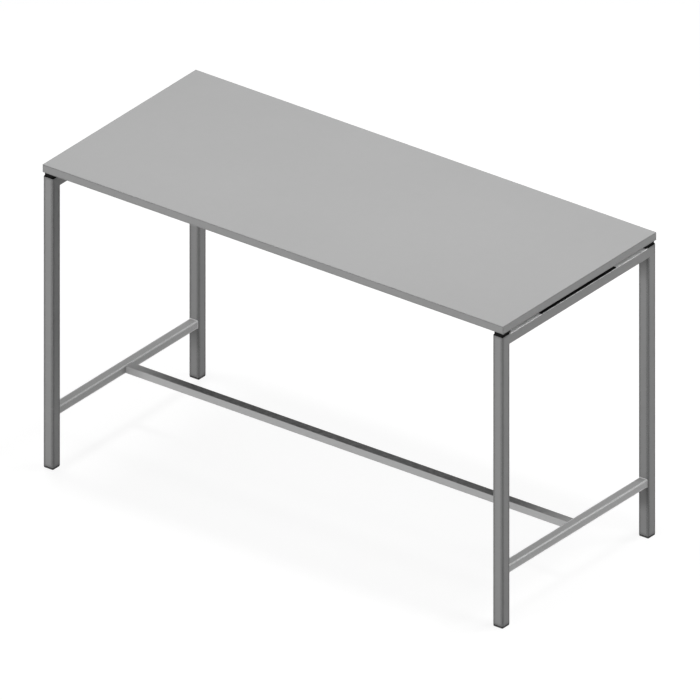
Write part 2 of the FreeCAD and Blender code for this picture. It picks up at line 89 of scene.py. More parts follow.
class Side(Enum):
    """The two ends of the table, with their sign along X."""

    LEFT = -1
    RIGHT = 1


class Row(Enum):
    """The two long sides of the table, with their sign along Y."""

    FRONT = -1
    BACK = 1


class Effect(Enum):
    """Shared surface effects, each one shader node group."""

    GRAIN = "moulded_grain"
    # Edge colour: wear on the small metal and plastic parts, and painted shade, painted highlights, painted
    # light and painted shadow on the frame.
    EDGE = "edge_wear"
    SCUFF = "scuffs"
    MOTTLE = "soft_mottle"


def grey(level: float) -> Colour:
    """A neutral linear colour."""
    return (level, level, level)


def corner_name(row: Row, side: Side) -> str:
    """Name of a corner as the frame spells it, such as front_left."""
    return f"{row.name.lower()}_{side.name.lower()}"


def add_object(name: str, data: bpy.types.ID) -> bpy.types.Object:
    """Put an object into the scene.

    Args:
        name: Name of the object.
        data: What it shows, such as a mesh or a lamp.

    Returns:
        The object.
    """
    thing = bpy.data.objects.new(name, data)
    bpy.context.scene.collection.objects.link(thing)
    return thing


@dataclass
class NodeSheet:
    """Thin wrapper round a node tree that adds nodes and feeds their inputs.

    Attributes:
        tree: The material, world or group tree to fill.
        mix_colours: Places of the Mix node's colour inputs, which share their names with its other inputs.
        mix_result: Place of its colour output.
    """

    tree: bpy.types.NodeTree
    mix_colours: tuple[int, int] = (6, 7)
    mix_result: int = 2

    def feed(self, target: Socket, value: Value) -> None:
        """Link an output to an input, or set the input to a plain value.

        Args:
            target: The input.
            value: The output, or what the input is set to.
        """
        if isinstance(value, Socket):
            self.tree.links.new(value, target)
        else:
            target.default_value = value

    def add(
        self, kind: str, inputs: dict[str | int, Value] | None = None, **settings: object
    ) -> bpy.types.Node:
        """Add a node.

        Args:
            kind: Blender's node type, such as ShaderNodeMath.
            inputs: What feeds its inputs, by their names or places.
            **settings: Its properties, by name.

        Returns:
            The new node.
        """
        node = self.tree.nodes.new(kind)
        for name, setting in settings.items():
            setattr(node, name, setting)
        for key, value in (inputs or {}).items():
            self.feed(node.inputs[key], value)
        return node

    def maths(self, operation: str, first: Value, second: Value = 0.0) -> Socket:
        """Result of a Math node with two inputs."""
        return self.add("ShaderNodeMath", {0: first, 1: second}, operation=operation).outputs[0]

    def times(self, first: Value, second: Value) -> Socket:
        """Product of two sockets or numbers."""
        return self.maths("MULTIPLY", first, second)

    def greatest(self, *values: Socket) -> Socket:
        """The greatest of some values."""
        return reduce(partial(self.maths, "MAXIMUM"), values)

    def ramp(self, value: Socket, low: float, high: float, start: float = 0.0, end: float = 1.0) -> Socket:
        """The value carried over from the range low to high to the range start to end, clamped."""
        inputs = {"Value": value, "From Min": low, "From Max": high, "To Min": start, "To Max": end}
        return self.add("ShaderNodeMapRange", inputs).outputs["Result"]

    def blend(self, first: Socket, share: float, second: Socket) -> Socket:
        """Sum of two values, of which the first has the given share and the second the rest."""
        return self.maths("ADD", self.times(first, share), self.times(second, 1.0 - share))

    def noise(self, scale: Value, detail: float, stretch: Sequence[float] = (1, 1, 1)) -> Socket:
        """Noise in the object's own coordinates.

        Args:
            scale: Noise scale.
            detail: Octaves of detail.
            stretch: Scale of the coordinates along X, Y and Z.

        Returns:
            The noise value.
        """
        place = self.add("ShaderNodeTexCoord").outputs["Object"]
        place = self.add("ShaderNodeMapping", {"Vector": place, "Scale": stretch}).outputs["Vector"]
        noise = self.add("ShaderNodeTexNoise", {"Vector": place, "Scale": scale, "Detail": detail})
        return noise.outputs["Fac"]

    def parts(self, vector: Socket) -> list[Socket]:
        """The X, Y and Z of a vector."""
        return list(self.add("ShaderNodeSeparateXYZ", {"Vector": vector}).outputs)

    def mix(self, factor: Socket, first: Socket | Colour, second: Socket | Colour) -> Socket:
        """Mix two colours.

        Args:
            factor: How much of the second shows.
            first: A colour socket or an RGB tuple.
            second: A colour socket or an RGB tuple.

        Returns:
            The mixed colour.
        """
        inputs = {"Factor": factor}
        for place, colour in zip(self.mix_colours, (first, second)):
            inputs[place] = colour if isinstance(colour, Socket) else (*colour, 1.0)
        return self.add("ShaderNodeMix", inputs, data_type="RGBA").outputs[self.mix_result]

    def surface(self, inputs: dict[str, Value]) -> None:
        """Add the Principled shader with its inputs, and put it out as the material's surface."""
        shader = self.add("ShaderNodeBsdfPrincipled", inputs)
        self.add("ShaderNodeOutputMaterial", {"Surface": shader.outputs["BSDF"]})


def new_material(name: str) -> tuple[bpy.types.Material, NodeSheet]:
    """Make a material that has no nodes yet.

    Args:
        name: Name of the material.

    Returns:
        The material and the sheet that fills it.
    """
    material = bpy.data.materials.new(name)
    material.use_nodes = True
    material.node_tree.nodes.clear()
    return material, NodeSheet(material.node_tree)


@dataclass
class EffectLibrary:
    """Builds each shared effect group once and hands it out.

    A span holds the values at which a ramp starts and ends.

    Attributes:
        noise_span: Values between which most of a noise lies.
        grain_fine_share: Share of the fine grain in its height. The coarse roll has the rest.
        grain_coarse_scale: Scale of the coarse roll, as a share of the fine grain's.
        edge_span: Cosine between a face's own normal and the rounded one, from off an edge to on it.
        edge_samples: Samples of the rounded normal.
        arc_span: Greatest part of the normal along one axis, from off a round corner to on it.
        upward_span: Upward part of the normal, from a side that doesn't look up to one that does.
        breakup_scale: Scale of the noise that breaks the edge colour up.
        scuff_scale: Scale of the scuffs' noise.
        scuff_stretch: Scale along a scuff's length, as a share of that across it.
        scuff_spans: Noise values from bare to scuffed, along X and along Y.
        patch_scale: Scale of the patches in which the scuffs lie.
        patch_span: Noise values from outside a patch to inside it.
        mottle_slow_share: Share of the slow change of tone. The fast one has the rest.
        mottle_fast_scale: Scale of the fast change, as a share of the slow one's.
        built: The groups that have been built.
    """

    noise_span: Span = (0.35, 0.65)
    grain_fine_share: float = 0.6
    grain_coarse_scale: float = 0.22
    edge_span: Span = (0.997, 0.96)
    edge_samples: int = 6
    arc_span: Span = (0.97, 0.8)
    upward_span: Span = (0.02, 0.3)
    breakup_scale: float = 60.0
    scuff_scale: float = 120.0
    scuff_stretch: float = 0.12
    scuff_spans: tuple[Span, Span] = ((0.62, 0.72), (0.64, 0.74))
    patch_scale: float = 5.0
    patch_span: Span = (0.45, 0.62)
    mottle_slow_share: float = 0.7
    mottle_fast_scale: float = 14.0
    built: dict[Effect, bpy.types.NodeTree] = field(default_factory=dict)

    def place(self, sheet: NodeSheet, effect: Effect, **values: float) -> bpy.types.Node:
        """Put an effect into a material.

        Args:
            sheet: The material's node sheet.
            effect: Which effect to place.
            **values: Input values, by socket name.

        Returns:
            The group node.
        """
        if effect not in self.built:
            builders = {
                Effect.GRAIN: self._grain, Effect.EDGE: self._edge,
                Effect.SCUFF: self._scuff, Effect.MOTTLE: self._mottle,
            }
            builders[effect]()
        return sheet.add("ShaderNodeGroup", values, node_tree=self.built[effect])

    def _start(
        self, effect: Effect, inputs: dict[str, float], *outputs: str
    ) -> tuple[NodeSheet, bpy.types.NodeOutputs, bpy.types.NodeInputs]:
        """Open an effect's group, with float sockets.

        Args:
            effect: The effect, whose value names the group.
            inputs: Socket names and their default values.
            *outputs: Names of the output sockets.

        Returns:
            The sheet, the sockets that give the group's inputs and those that take its outputs.
        """
        tree = bpy.data.node_groups.new(effect.value, "ShaderNodeTree")
        for name, value in inputs.items():
            socket = tree.interface.new_socket(name=name, in_out="INPUT", socket_type="NodeSocketFloat")
            socket.default_value = value
        for name in outputs:
            tree.interface.new_socket(name=name, in_out="OUTPUT", socket_type="NodeSocketFloat")
        self.built[effect] = tree
        sheet = NodeSheet(tree)
        return sheet, sheet.add("NodeGroupInput").outputs, sheet.add("NodeGroupOutput").inputs

    def _grain(self) -> None:
        """Fine bumps with a coarser roll under them, as sprayed powder or etched plastic has."""
        sheet, given, out = self._start(Effect.GRAIN, {"Scale": 900.0}, "Height", "Tone")
        fine = sheet.noise(given["Scale"], detail=2.0)
        coarse = sheet.noise(sheet.times(given["Scale"], self.grain_coarse_scale), detail=1.0)
        sheet.feed(out["Height"], sheet.blend(fine, self.grain_fine_share, coarse))
        sheet.feed(out["Tone"], sheet.ramp(fine, *self.noise_span))

    def _edge(self) -> None:
        """Mask along sharp and rounded outer edges, or over all that looks up, broken up by noise.

        It fades out along X beyond Reach from the middle, over the length of Fade. Along edges it carries
        wear, painted shade and painted highlights. Over what looks up it carries painted light on the
        crossbar's top and a painted shadow of the tabletop on the long rail's top, which Reach and Fade
        keep off the rail's lit ends.
        """
        inputs = {"Radius": 2.0 * MM, "Breakup": 0.5, "Upward": 0.0, "Reach": 10.0, "Fade": 1.0}
        sheet, given, out = self._start(Effect.EDGE, inputs, "Mask")
        own = sheet.add("ShaderNodeTexCoord").outputs
        face = sheet.add("ShaderNodeNewGeometry").outputs
        bevel = sheet.add("ShaderNodeBevel", {"Radius": given["Radius"]}, samples=self.edge_samples).outputs
        normals = {0: bevel["Normal"], 1: face["Normal"]}
        turn = sheet.add("ShaderNodeVectorMath", normals, operation="DOT_PRODUCT").outputs["Value"]
        normal = sheet.parts(own["Normal"])
        most = sheet.greatest(*(sheet.maths("ABSOLUTE", part) for part in normal))
        # Along edges: painted shade on the legs and the top's band, painted highlights on the end rails,
        # wear on the small parts.
        edges = sheet.greatest(sheet.ramp(turn, *self.edge_span), sheet.ramp(most, *self.arc_span))
        edges = sheet.times(edges, sheet.maths("SUBTRACT", 1.0, given["Upward"]))
        # Over what looks up: painted light on the crossbar's top, painted shadow of the tabletop on the
        # long rail's top.
        above = sheet.times(sheet.ramp(normal[2], *self.upward_span), given["Upward"])

        bare = sheet.ramp(sheet.noise(self.breakup_scale, detail=3.0), *self.noise_span)
        whole = sheet.maths("SUBTRACT", 1.0, sheet.times(bare, given["Breakup"]))
        # Fades the painted shadow of the tabletop out towards the long rail's lit ends.
        along = sheet.maths("ABSOLUTE", sheet.parts(own["Object"])[0])
        beyond = sheet.maths("DIVIDE", sheet.maths("SUBTRACT", along, given["Reach"]), given["Fade"])
        near = sheet.ramp(beyond, 0.0, 1.0, 1.0, 0.0)
        sheet.feed(out["Mask"], sheet.times(sheet.times(sheet.greatest(edges, above), whole), near))

    def _scuff(self) -> None:
        """Short drawn-out scratches in patches."""
        sheet, given, out = self._start(Effect.SCUFF, {"Amount": 0.5}, "Mask")
        stretches = (self.scuff_stretch, 1.0, 1.0), (1.0, self.scuff_stretch, 1.0)
        lines = sheet.greatest(*(
            sheet.ramp(sheet.noise(self.scuff_scale, 3.0, stretch), *span)
            for stretch, span in zip(stretches, self.scuff_spans)
        ))
        patches = sheet.ramp(sheet.noise(self.patch_scale, detail=2.0), *self.patch_span)
        sheet.feed(out["Mask"], sheet.times(sheet.times(lines, patches), given["Amount"]))

    def _mottle(self) -> None:
        """Slow change of tone over a whole piece, with a fainter fast one."""
        sheet, given, out = self._start(Effect.MOTTLE, {"Scale": 4.0}, "Tone")
        slow = sheet.noise(given["Scale"], detail=3.0)
        fast = sheet.noise(sheet.times(given["Scale"], self.mottle_fast_scale), detail=2.0)
        both = sheet.blend(slow, self.mottle_slow_share, fast)
        sheet.feed(out["Tone"], sheet.ramp(both, *self.noise_span))


@dataclass(frozen=True)
class Finish:
    """A surface finish: colour with slow and fine variation, grain, edge change and scuffs.

    Attributes:
        name: Name of the material.
        colour: Main linear colour.
        shade: How much darker the darkest mottle is, as a share of the colour.
        roughness: Middle roughness.
        roughness_spread: How far roughness changes each way.
        metallic: Metallic value.
        specular: Specular level.
        grain_scale: Scale of the grain noise.
        grain_height: Depth of the grain, in metres.
        grain_tone: How much of the lighter tone the grain's bumps show.
        mottle_scale: Scale of the slow change of tone.
        edge_radius: Width of the edge zone, in metres.
        edge_colour: Colour that shows along edges: wear on some finishes, painted shade and painted
            highlights on others.
        edge_amount: How much of the edge colour shows.
        edge_breakup: How broken the edge zone is.
        edge_upward: 1 puts the edge colour on all that looks up instead of along edges, for painted light
            and painted shadow on tops.
        edge_reach: How far the edge colour reaches along X from the middle of the table, in metres.
        edge_fade: Length over which it fades out beyond that, in metres.
        soften: Radius to which edges are rounded for the light, in metres.
        soften_samples: Samples of that rounding.
        scuff_colour: Colour of scuffs.
        scuff_amount: How strong scuffs are.
        scuff_roughness: How much rougher a scuff is.
    """

    name: str
    colour: Colour
    shade: float = 0.06
    roughness: float = 0.45
    roughness_spread: float = 0.06
    metallic: float = 0.0
    specular: float = 0.5
    grain_scale: float = 900.0
    grain_height: float = 0.03 * MM
    grain_tone: float = 0.5
    mottle_scale: float = 4.0
    edge_radius: float = 2.0 * MM
    edge_colour: Colour = grey(0.5)
    edge_amount: float = 0.2
    edge_breakup: float = 0.5
    edge_upward: float = 0.0
    edge_reach: float = 10.0
    edge_fade: float = 1.0
    soften: float = 0.0
    soften_samples: int = 8
    scuff_colour: Colour = grey(0.5)
    scuff_amount: float = 0.0
    scuff_roughness: float = 0.15

    def build(self, effects: EffectLibrary) -> bpy.types.Material:
        """Make the material.

        Args:
            effects: Library that holds the shared effect groups.

        Returns:
            The finished material.
        """
        material, sheet = new_material(self.name)
        mottle = effects.place(sheet, Effect.MOTTLE, Scale=self.mottle_scale).outputs
        grain = effects.place(sheet, Effect.GRAIN, Scale=self.grain_scale).outputs
        edge = effects.place(
            sheet, Effect.EDGE, Radius=self.edge_radius, Breakup=self.edge_breakup, Upward=self.edge_upward,
            Reach=self.edge_reach, Fade=self.edge_fade,
        ).outputs
        dark = tuple(channel * (1 - self.shade) for channel in self.colour)
        light = tuple(channel * (1 + self.shade / 2) for channel in self.colour)
        colour = sheet.mix(mottle["Tone"], dark, self.colour)
        colour = sheet.mix(sheet.times(grain["Tone"], self.grain_tone), colour, light)
        # Edge colour: wear, painted shade and painted highlights along edges, and painted light and painted
        # shadow on what looks up.
        colour = sheet.mix(sheet.times(edge["Mask"], self.edge_amount), colour, self.edge_colour)
        smoothest, roughest = self.roughness - self.roughness_spread, self.roughness + self.roughness_spread
        rough = sheet.ramp(grain["Tone"], 0.0, 1.0, smoothest, roughest)
        if self.scuff_amount > 0:
            scuff = effects.place(sheet, Effect.SCUFF, Amount=self.scuff_amount).outputs
            colour = sheet.mix(scuff["Mask"], colour, self.scuff_colour)
            rough = sheet.maths("ADD", rough, sheet.times(scuff["Mask"], self.scuff_roughness))
        bump = sheet.add("ShaderNodeBump", {"Distance": self.grain_height, "Height": grain["Height"]})
        if self.soften > 0:
            rounded = sheet.add("ShaderNodeBevel", {"Radius": self.soften}, samples=self.soften_samples)
            sheet.feed(bump.inputs["Normal"], rounded.outputs["Normal"])
        sheet.surface({
            "Base Color": colour, "Roughness": rough, "Metallic": self.metallic,
            "Specular IOR Level": self.specular, "Normal": bump.outputs["Normal"],
        })
        return material


def powder_coat(name: str, level: float, **changes: object) -> Finish:
    """Finish of a grey powder coat, with changes to the common one's fields."""
    settings = {"roughness": 0.42, "specular": 0.25, "grain_scale": 1000.0, **changes}
    return Finish(name, grey(level), **settings)


@dataclass(frozen=True)
class FinishSet:
    """Every finish of the table, by the piece it belongs to."""

    top_face: Finish = Finish(
        "top_melamine", grey(0.43), shade=0.035, roughness=0.5, grain_scale=650.0, grain_height=0.02 * MM,
        mottle_scale=2.5, edge_amount=0.0,
    )
    # Dark edge colour: painted shade along the band's corners and arrises.
    top_edge: Finish = Finish(
        "top_edge_band", grey(0.337), shade=0.05, roughness=0.42, grain_scale=800.0, mottle_scale=7.0,
        edge_radius=7.0 * MM, edge_colour=grey(0.22), edge_amount=0.8, edge_breakup=0.2,
    )
    # Dark edge colour: painted shade along the legs' corners. The scuffs are wear.
    frame_paint: Finish = powder_coat(
        "frame_powder_coat", 0.33, edge_radius=12.0 * MM, edge_colour=grey(0.15), edge_amount=0.9,
        edge_breakup=0.1, scuff_amount=0.12,
    )
    weld_paint: Finish = powder_coat("weld_powder_coat", 0.33, edge_amount=0.0)
    # Near-white colour on all that looks up: painted light on the crossbar's top in the shadow gap and on
    # its rounded upper edges. The scuffs are wear.
    crossbar_paint: Finish = powder_coat(
        "crossbar_powder_coat", 0.33, roughness=0.4, specular=0.3, soften=5.0 * MM, edge_colour=grey(0.9),
        edge_amount=0.95, edge_breakup=0.1, edge_upward=1.0, scuff_amount=0.12,
    )
    # Near-white edge colour: painted highlights along the end rails' edges. The lighter scuffs are wear.
    rail_paint: Finish = powder_coat(
        "footrest_powder_coat", 0.5, shade=0.08, roughness=0.3, specular=0.5, soften=5.0 * MM,
        edge_radius=6.0 * MM, edge_colour=grey(0.95), edge_amount=1.0, edge_breakup=0.05,
        scuff_colour=grey(0.6), scuff_amount=0.35,
    )
    # Dark colour on what looks up, fading out beyond 0.6 m from the middle: a painted shadow of the
    # tabletop on the rail's top. The scuffs are wear.
    long_rail_paint: Finish = powder_coat(
        "trodden_and_shadowed_powder_coat", 0.58, shade=0.08, roughness=0.36, specular=0.3, soften=3.0 * MM,
        edge_colour=grey(0.13), edge_amount=0.95, edge_breakup=0.15, edge_upward=1.0, edge_reach=0.6,
        edge_fade=0.46, scuff_colour=grey(0.45), scuff_amount=0.35,
    )
    beam_paint: Finish = powder_coat(
        "beam_powder_coat", 0.33, roughness=0.45, edge_radius=1.8 * MM, edge_colour=grey(0.28),
        edge_amount=0.3,
    )
    black_paint: Finish = powder_coat(
        "black_powder_coat", 0.006, shade=0.3, roughness=0.55, specular=0.1, grain_scale=1100.0,
        edge_radius=1.0 * MM, edge_colour=grey(0.02), edge_amount=0.3,
    )
    black_plastic: Finish = Finish(
        "black_moulding", grey(0.005), shade=0.3, roughness=0.5, specular=0.08, grain_scale=1500.0,
        edge_radius=0.8 * MM, edge_colour=grey(0.02), edge_amount=0.3,
    )
    glide_plastic: Finish = Finish(
        "glide_moulding", grey(0.08), shade=0.3, roughness=0.6, grain_scale=1400.0, edge_radius=1.2 * MM,
        edge_colour=grey(0.12), edge_amount=0.6, scuff_colour=grey(0.2), scuff_amount=0.5,
    )
    bright_zinc: Finish = Finish(
        "bright_zinc", grey(0.58), shade=0.12, roughness=0.3, metallic=1.0, grain_scale=2200.0,
        mottle_scale=60.0, edge_radius=0.6 * MM, edge_colour=grey(0.75), edge_amount=0.5,
    )
    plain_steel: Finish = Finish(
        "plain_steel", grey(0.5), shade=0.15, roughness=0.36, metallic=1.0, grain_scale=1600.0,
        mottle_scale=30.0, edge_radius=0.8 * MM, edge_colour=grey(0.68), edge_amount=0.5,
        scuff_colour=grey(0.3), scuff_amount=0.4,
    )


class Seam(Enum):
    """Which sides of a tube's outline carry a bead, as the range of their direction's Z."""

    AROUND = (-math.inf, math.inf)
    UNDER = (-math.inf, -0.99)
    FLANKS = (-0.01, 0.01)

    def carries(self, normal: Vector) -> bool:
        """True if a stretch of outline that faces this way is welded."""
        least, greatest = self.value
        return least < normal.z < greatest


class SkinnedForm:
    """A mesh in the making, skinned over rows of rings."""

    def __init__(self) -> None:
        """Start empty."""
        self.form = bmesh.new()

    def skin(self, rings: Sequence[Sequence[Vector]], closed: bool, flat_rows: Sequence[int] = ()) -> None:
        """Skin one row of rings.

        Args:
            rings: Rings of points, all with the same number of points.
            closed: True joins the last ring to the first, False caps both ends.
            flat_rows: Rows of faces, counted from the first ring, that are shaded flat.
        """
        rows = [[self.form.verts.new(point) for point in ring] for ring in rings]
        pairs = list(zip(rows, rows[1:]))
        if closed:
            pairs.append((rows[-1], rows[0]))
        for row, (low, high) in enumerate(pairs):
            for at in range(len(low)):
                after = (at + 1) % len(low)
                face = self.form.faces.new((low[at], low[after], high[after], high[at]))
                face.smooth = row not in flat_rows
        if not closed:
            self.form.faces.new(list(reversed(rows[0])))
            self.form.faces.new(rows[-1])

    def mesh(self, name: str, crease: float) -> bpy.types.Mesh:
        """Turn the form into a mesh, smooth but for its creases.

        Args:
            name: Name of the mesh.
            crease: Edges that turn by more than this, in radians, stay sharp.

        Returns:
            The mesh, with its faces turned outwards.
        """
        bmesh.ops.recalc_face_normals(self.form, faces=self.form.faces)
        for edge in self.form.edges:
            if edge.calc_face_angle(0.0) > crease:
                edge.smooth = False
        mesh = bpy.data.meshes.new(name)
        self.form.to_mesh(mesh)
        self.form.free()
        return mesh


class Weld(ABC):
    """A weld that adds itself to a form."""

    @abstractmethod
    def lay(self, form: SkinnedForm) -> None:
        """Add the weld to a form."""


@dataclass
class WeldBead(Weld):
    """A rippled fillet bead round the end of a rectangular tube, in the corner with the face that it meets.

    Attributes:
        centre: Middle of the tube's end.
        outward: Direction from the flat face along the tube.
        first: Direction of the tube's first side, times half its size.
        second: Direction of the tube's second side, times half its size.
        corner_radius: Outer corner radius of the tube.
        seam: Which sides are welded.
        size: Leg length of the bead.
        ripple: Distance between two ripples.
        ripple_depth: Height of a ripple, as a share of the bead.
        steps_per_ripple: Rings for each ripple.
        arc_steps: Fewest rings round a corner.
        section_points: Points across the bead's outer face.
        root_depth: How far the bead's root lies in both pieces, as a share of the bead.
        end_size: Size of an open bead at its ends, as a share.
        end_growth: How much of its size it gains from ring to ring there.
    """

    centre: Vector
    outward: Vector
    first: Vector
    second: Vector
    corner_radius: float
    seam: Seam
    size: float
    ripple: float = 1.8 * MM
    ripple_depth: float = 0.09
    steps_per_ripple: int = 4
    arc_steps: int = 3
    section_points: int = 5
    root_depth: float = 0.25
    end_size: float = 0.4
    end_growth: float = 0.15

    @classmethod
    def at_end(
        cls, tube: str, end: Side | Row, corner_radius: float, seam: Seam, size: float
    ) -> "WeldBead":
        """Bead round the end of one of the frame's level tubes.

        Args:
            tube: Node name of the tube.
            end: Which end it is, a Side for a tube that runs along X and a Row for one along Y.
            corner_radius: Outer corner radius of the tube.
            seam: Which sides are welded.
            size: Leg length of the bead.

        Returns:
            The bead.
        """
        low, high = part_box(tube)
        centre, half = (low + high) / 2, (high - low) / 2
        outward, first, second = Vector(), Vector(), Vector()
        along, across = (0, 1) if isinstance(end, Side) else (1, 0)
        centre[along] = (high if end.value > 0 else low)[along]
        outward[along] = -end.value
        first[across] = half[across]
        second.z = half.z
        return cls(centre, outward, first, second, corner_radius, seam, size)

    def outline(self) -> list[tuple[Vector, Vector]]:
        """Points round the tube's outline.

        Returns:
            Evenly spaced (point, direction out of the tube) pairs.
        """
        across, up = self.first.normalized(), self.second.normalized()
        inner_across = self.first - across * self.corner_radius
        inner_up = self.second - up * self.corner_radius
        spacing = self.ripple / self.steps_per_ripple
        arc_steps = max(self.arc_steps, round(self.corner_radius * QUARTER_TURN / spacing))
        signs = (1, 1), (-1, 1), (-1, -1), (1, -1)
        corners = [self.centre + inner_across * right + inner_up * high for right, high in signs]
        pairs = []
        for quarter, (corner, following) in enumerate(zip(corners, corners[1:] + corners[:1])):
            for step in range(arc_steps):
                angle = quarter * QUARTER_TURN + QUARTER_TURN * step / arc_steps
                normal = across * math.cos(angle) + up * math.sin(angle)
                pairs.append((corner + normal * self.corner_radius, normal))
            angle = (quarter + 1) * QUARTER_TURN
            normal = across * math.cos(angle) + up * math.sin(angle)
            run_steps = round((following - corner).length / spacing)
            for step in range(run_steps):
                place = corner.lerp(following, step / run_steps)
                pairs.append((place + normal * self.corner_radius, normal))
        return pairs

    def stretches(self) -> list[list[tuple[Vector, Vector]]]:
        """The welded stretches of the outline.

        Returns:
            The outline's pairs in unbroken runs, read from a bare place if there is one.
        """
        pairs = self.outline()
        bare = [at for at, pair in enumerate(pairs) if not self.seam.carries(pair[1])]
        start = bare[0] if bare else 0
        found: list[list[tuple[Vector, Vector]]] = []
        before = False
        for pair in pairs[start:] + pairs[:start]:
            now = self.seam.carries(pair[1])
            if now and not before:
                found.append([])
            if now:
                found[-1].append(pair)
            before = now
        return found

    def ring(self, point: Vector, normal: Vector, reach: float) -> list[Vector]:
        """Section of the bead at one point of the outline.

        Args:
            point: Point of the outline.
            normal: Direction out of the tube there.
            reach: Leg length there.

        Returns:
            Points of the section, the root of the weld last.
        """
        points = []
        for number in range(self.section_points):
            angle = number * QUARTER_TURN / (self.section_points - 1)
            points.append(point + (normal * math.cos(angle) + self.outward * math.sin(angle)) * reach)
        return points + [point - (normal + self.outward) * self.size * self.root_depth]

    def lay(self, form: SkinnedForm) -> None:
        """Add the bead to a form, with tapered ends where it is open.

        Args:
            form: The form that takes it.
        """
        closed = self.seam is Seam.AROUND
        for stretch in self.stretches():
            rings = []
            last = len(stretch) - 1
            for at, (point, normal) in enumerate(stretch):
                wave = math.cos(FULL_TURN * at / self.steps_per_ripple)
                reach = self.size * (1 - self.ripple_depth * (1 - wave) / 2)
                if not closed:
                    reach *= min(1.0, self.end_size + self.end_growth * min(at, last - at))
                rings.append(self.ring(point, normal, reach))
            form.skin(rings, closed)


@dataclass
class GroundWeld(Weld):
    """The weld in the groove between a leg's round corner and a flush crossbar, ground level with both.

    Attributes:
        corner: Where the flush face, the leg's inner face and the underside of the crossbar would meet.
        inward: Direction from the flush face into the tubes.
        legward: Direction from the crossbar into the leg.
        height: Height of the crossbar.
        leg_radius: Corner radius of the leg.
        bar_radius: Corner radius of the crossbar.
        proud: How far the ground paint stands on the faces.
        leg_cover: How far the ground patch reaches on the leg.
        bar_cover: How far the ground patch reaches on the crossbar.
        depth: Thickness of the patch where it lies on a face.
        arc_steps: Rings round the lower and the upper corner of the crossbar.
    """

    corner: Vector
    inward: Vector
    legward: Vector
    height: float
    leg_radius: float = 3.5 * MM
    bar_radius: float = 3.0 * MM
    proud: float = 0.04 * MM
    leg_cover: float = 10.0 * MM
    bar_cover: float = 4.0 * MM
    depth: float = 0.8 * MM
    arc_steps: int = 6

    def section(self, inset: float) -> list[tuple[float, float]]:
        """Section of the patch.

        Args:
            inset: How far the crossbar's outline lies inside its flush face here.

        Returns:
            (inward, legward) of each point.
        """
        outer = inset - self.proud
        inner = inset + self.depth
        root = max(self.leg_radius, inner + self.proud)
        return [
            (outer, self.leg_cover), (outer, -self.bar_cover), (inner, -self.bar_cover),
            (root, 0.0), (root, self.proud), (inner, self.leg_cover),
        ]

    def lay(self, form: SkinnedForm) -> None:
        """Add the patch to a form, from the crossbar's underside up.

        Args:
            form: The form that takes it.
        """
        lower = []
        for step in range(self.arc_steps + 1):
            angle = QUARTER_TURN * step / self.arc_steps
            lower.append((self.bar_radius * (1 - math.cos(angle)), self.bar_radius * (1 - math.sin(angle))))
        upper = [(self.height - rise, inset) for rise, inset in reversed(lower)]
        rings = []
        for rise, inset in lower + upper:
            base = self.corner + Vector((0, 0, rise))
            section = self.section(inset)
            rings.append([base + self.inward * deep + self.legward * far for deep, far in section])
        form.skin(rings, closed=False)


@dataclass
class Workshop:
    """Dresses the frame's nodes and adds new pieces.

    Attributes:
        nodes: The frame's nodes, by name.
        effects: The shared effects.
        materials: The materials made so far, by name.
        weld_crease: Edges of a weld that turn by more than this, in radians, stay sharp.
    """

    nodes: dict[str, bpy.types.Object]
    effects: EffectLibrary = field(default_factory=EffectLibrary)
    materials: dict[str, bpy.types.Material] = field(default_factory=dict)
    weld_crease: float = math.radians(60)

    def material(self, finish: Finish) -> bpy.types.Material:
        """The material of a finish, made on first use.

        Args:
            finish: The finish.

        Returns:
            Its material.
        """
        if finish.name not in self.materials:
            self.materials[finish.name] = finish.build(self.effects)
        return self.materials[finish.name]

    def dress(self, node_names: Iterable[str], finish: Finish) -> None:
        """Give frame nodes a finish.

        Args:
            node_names: Names of the nodes.
            finish: The finish that replaces their plain one.
        """
        for name in node_names:
            node = self.nodes[name]
            if not node.material_slots:
                node.data.materials.append(None)
            for slot in node.material_slots:
                slot.material = self.material(finish)
            LOG.info("dressed %s with %s", name, finish.name)

    def add_piece(
        self, name: str, mesh: bpy.types.Mesh, finish: Finish, body: str, slot: str
    ) -> bpy.types.Object:
        """Put a new mesh into the scene as a piece of the table.

        Args:
            name: Name of the piece.
            mesh: Its mesh, in the row frame.
            finish: Its finish.
            body: The body that it moves with.
            slot: Not used.

        Returns:
            The new object.
        """
        mesh.materials.append(self.material(finish))
        piece = add_object(name, mesh)
        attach(piece, body)
        LOG.info("made %s on %s", name, body)
        return piece

    def add_welds(self, name: str, welds: Iterable[Weld], finish: Finish, slot: str) -> None:
        """Put welds into the scene as one piece, which stays with the frame.

        Args:
            name: Name of the piece.
            welds: The welds.
            finish: Their finish.
            slot: Name of a material slot in the record, handed on to add_piece.
        """
        form = SkinnedForm()
        for weld in welds:
            weld.lay(form)
        self.add_piece(name, form.mesh(name, self.weld_crease), finish, ROOT, slot)


@dataclass
class SubAssembly(ABC):
    """A group of pieces that belong together.

    Attributes:
        workshop: Where the pieces are dressed and made.
        finishes: The finishes to choose from.
    """

    workshop: Workshop
    finishes: FinishSet

    @abstractmethod
    def build(self) -> None:
        """Dress the frame's pieces and add those that are too fine for it."""


class Tabletop(SubAssembly):
    """The faced board, its edge band and what holds it down."""

    def build(self) -> None:
        """Dress the board, its four bands, the inserts and the screws."""
        bands = [f"edge_band_{side.name.lower()}" for side in (*Row, *Side)]
        self.workshop.dress(["tabletop_board"], self.finishes.top_face)
        self.workshop.dress(bands, self.finishes.top_edge)
        self.workshop.dress(["tabletop_inserts", "tabletop_screws"], self.finishes.bright_zinc)


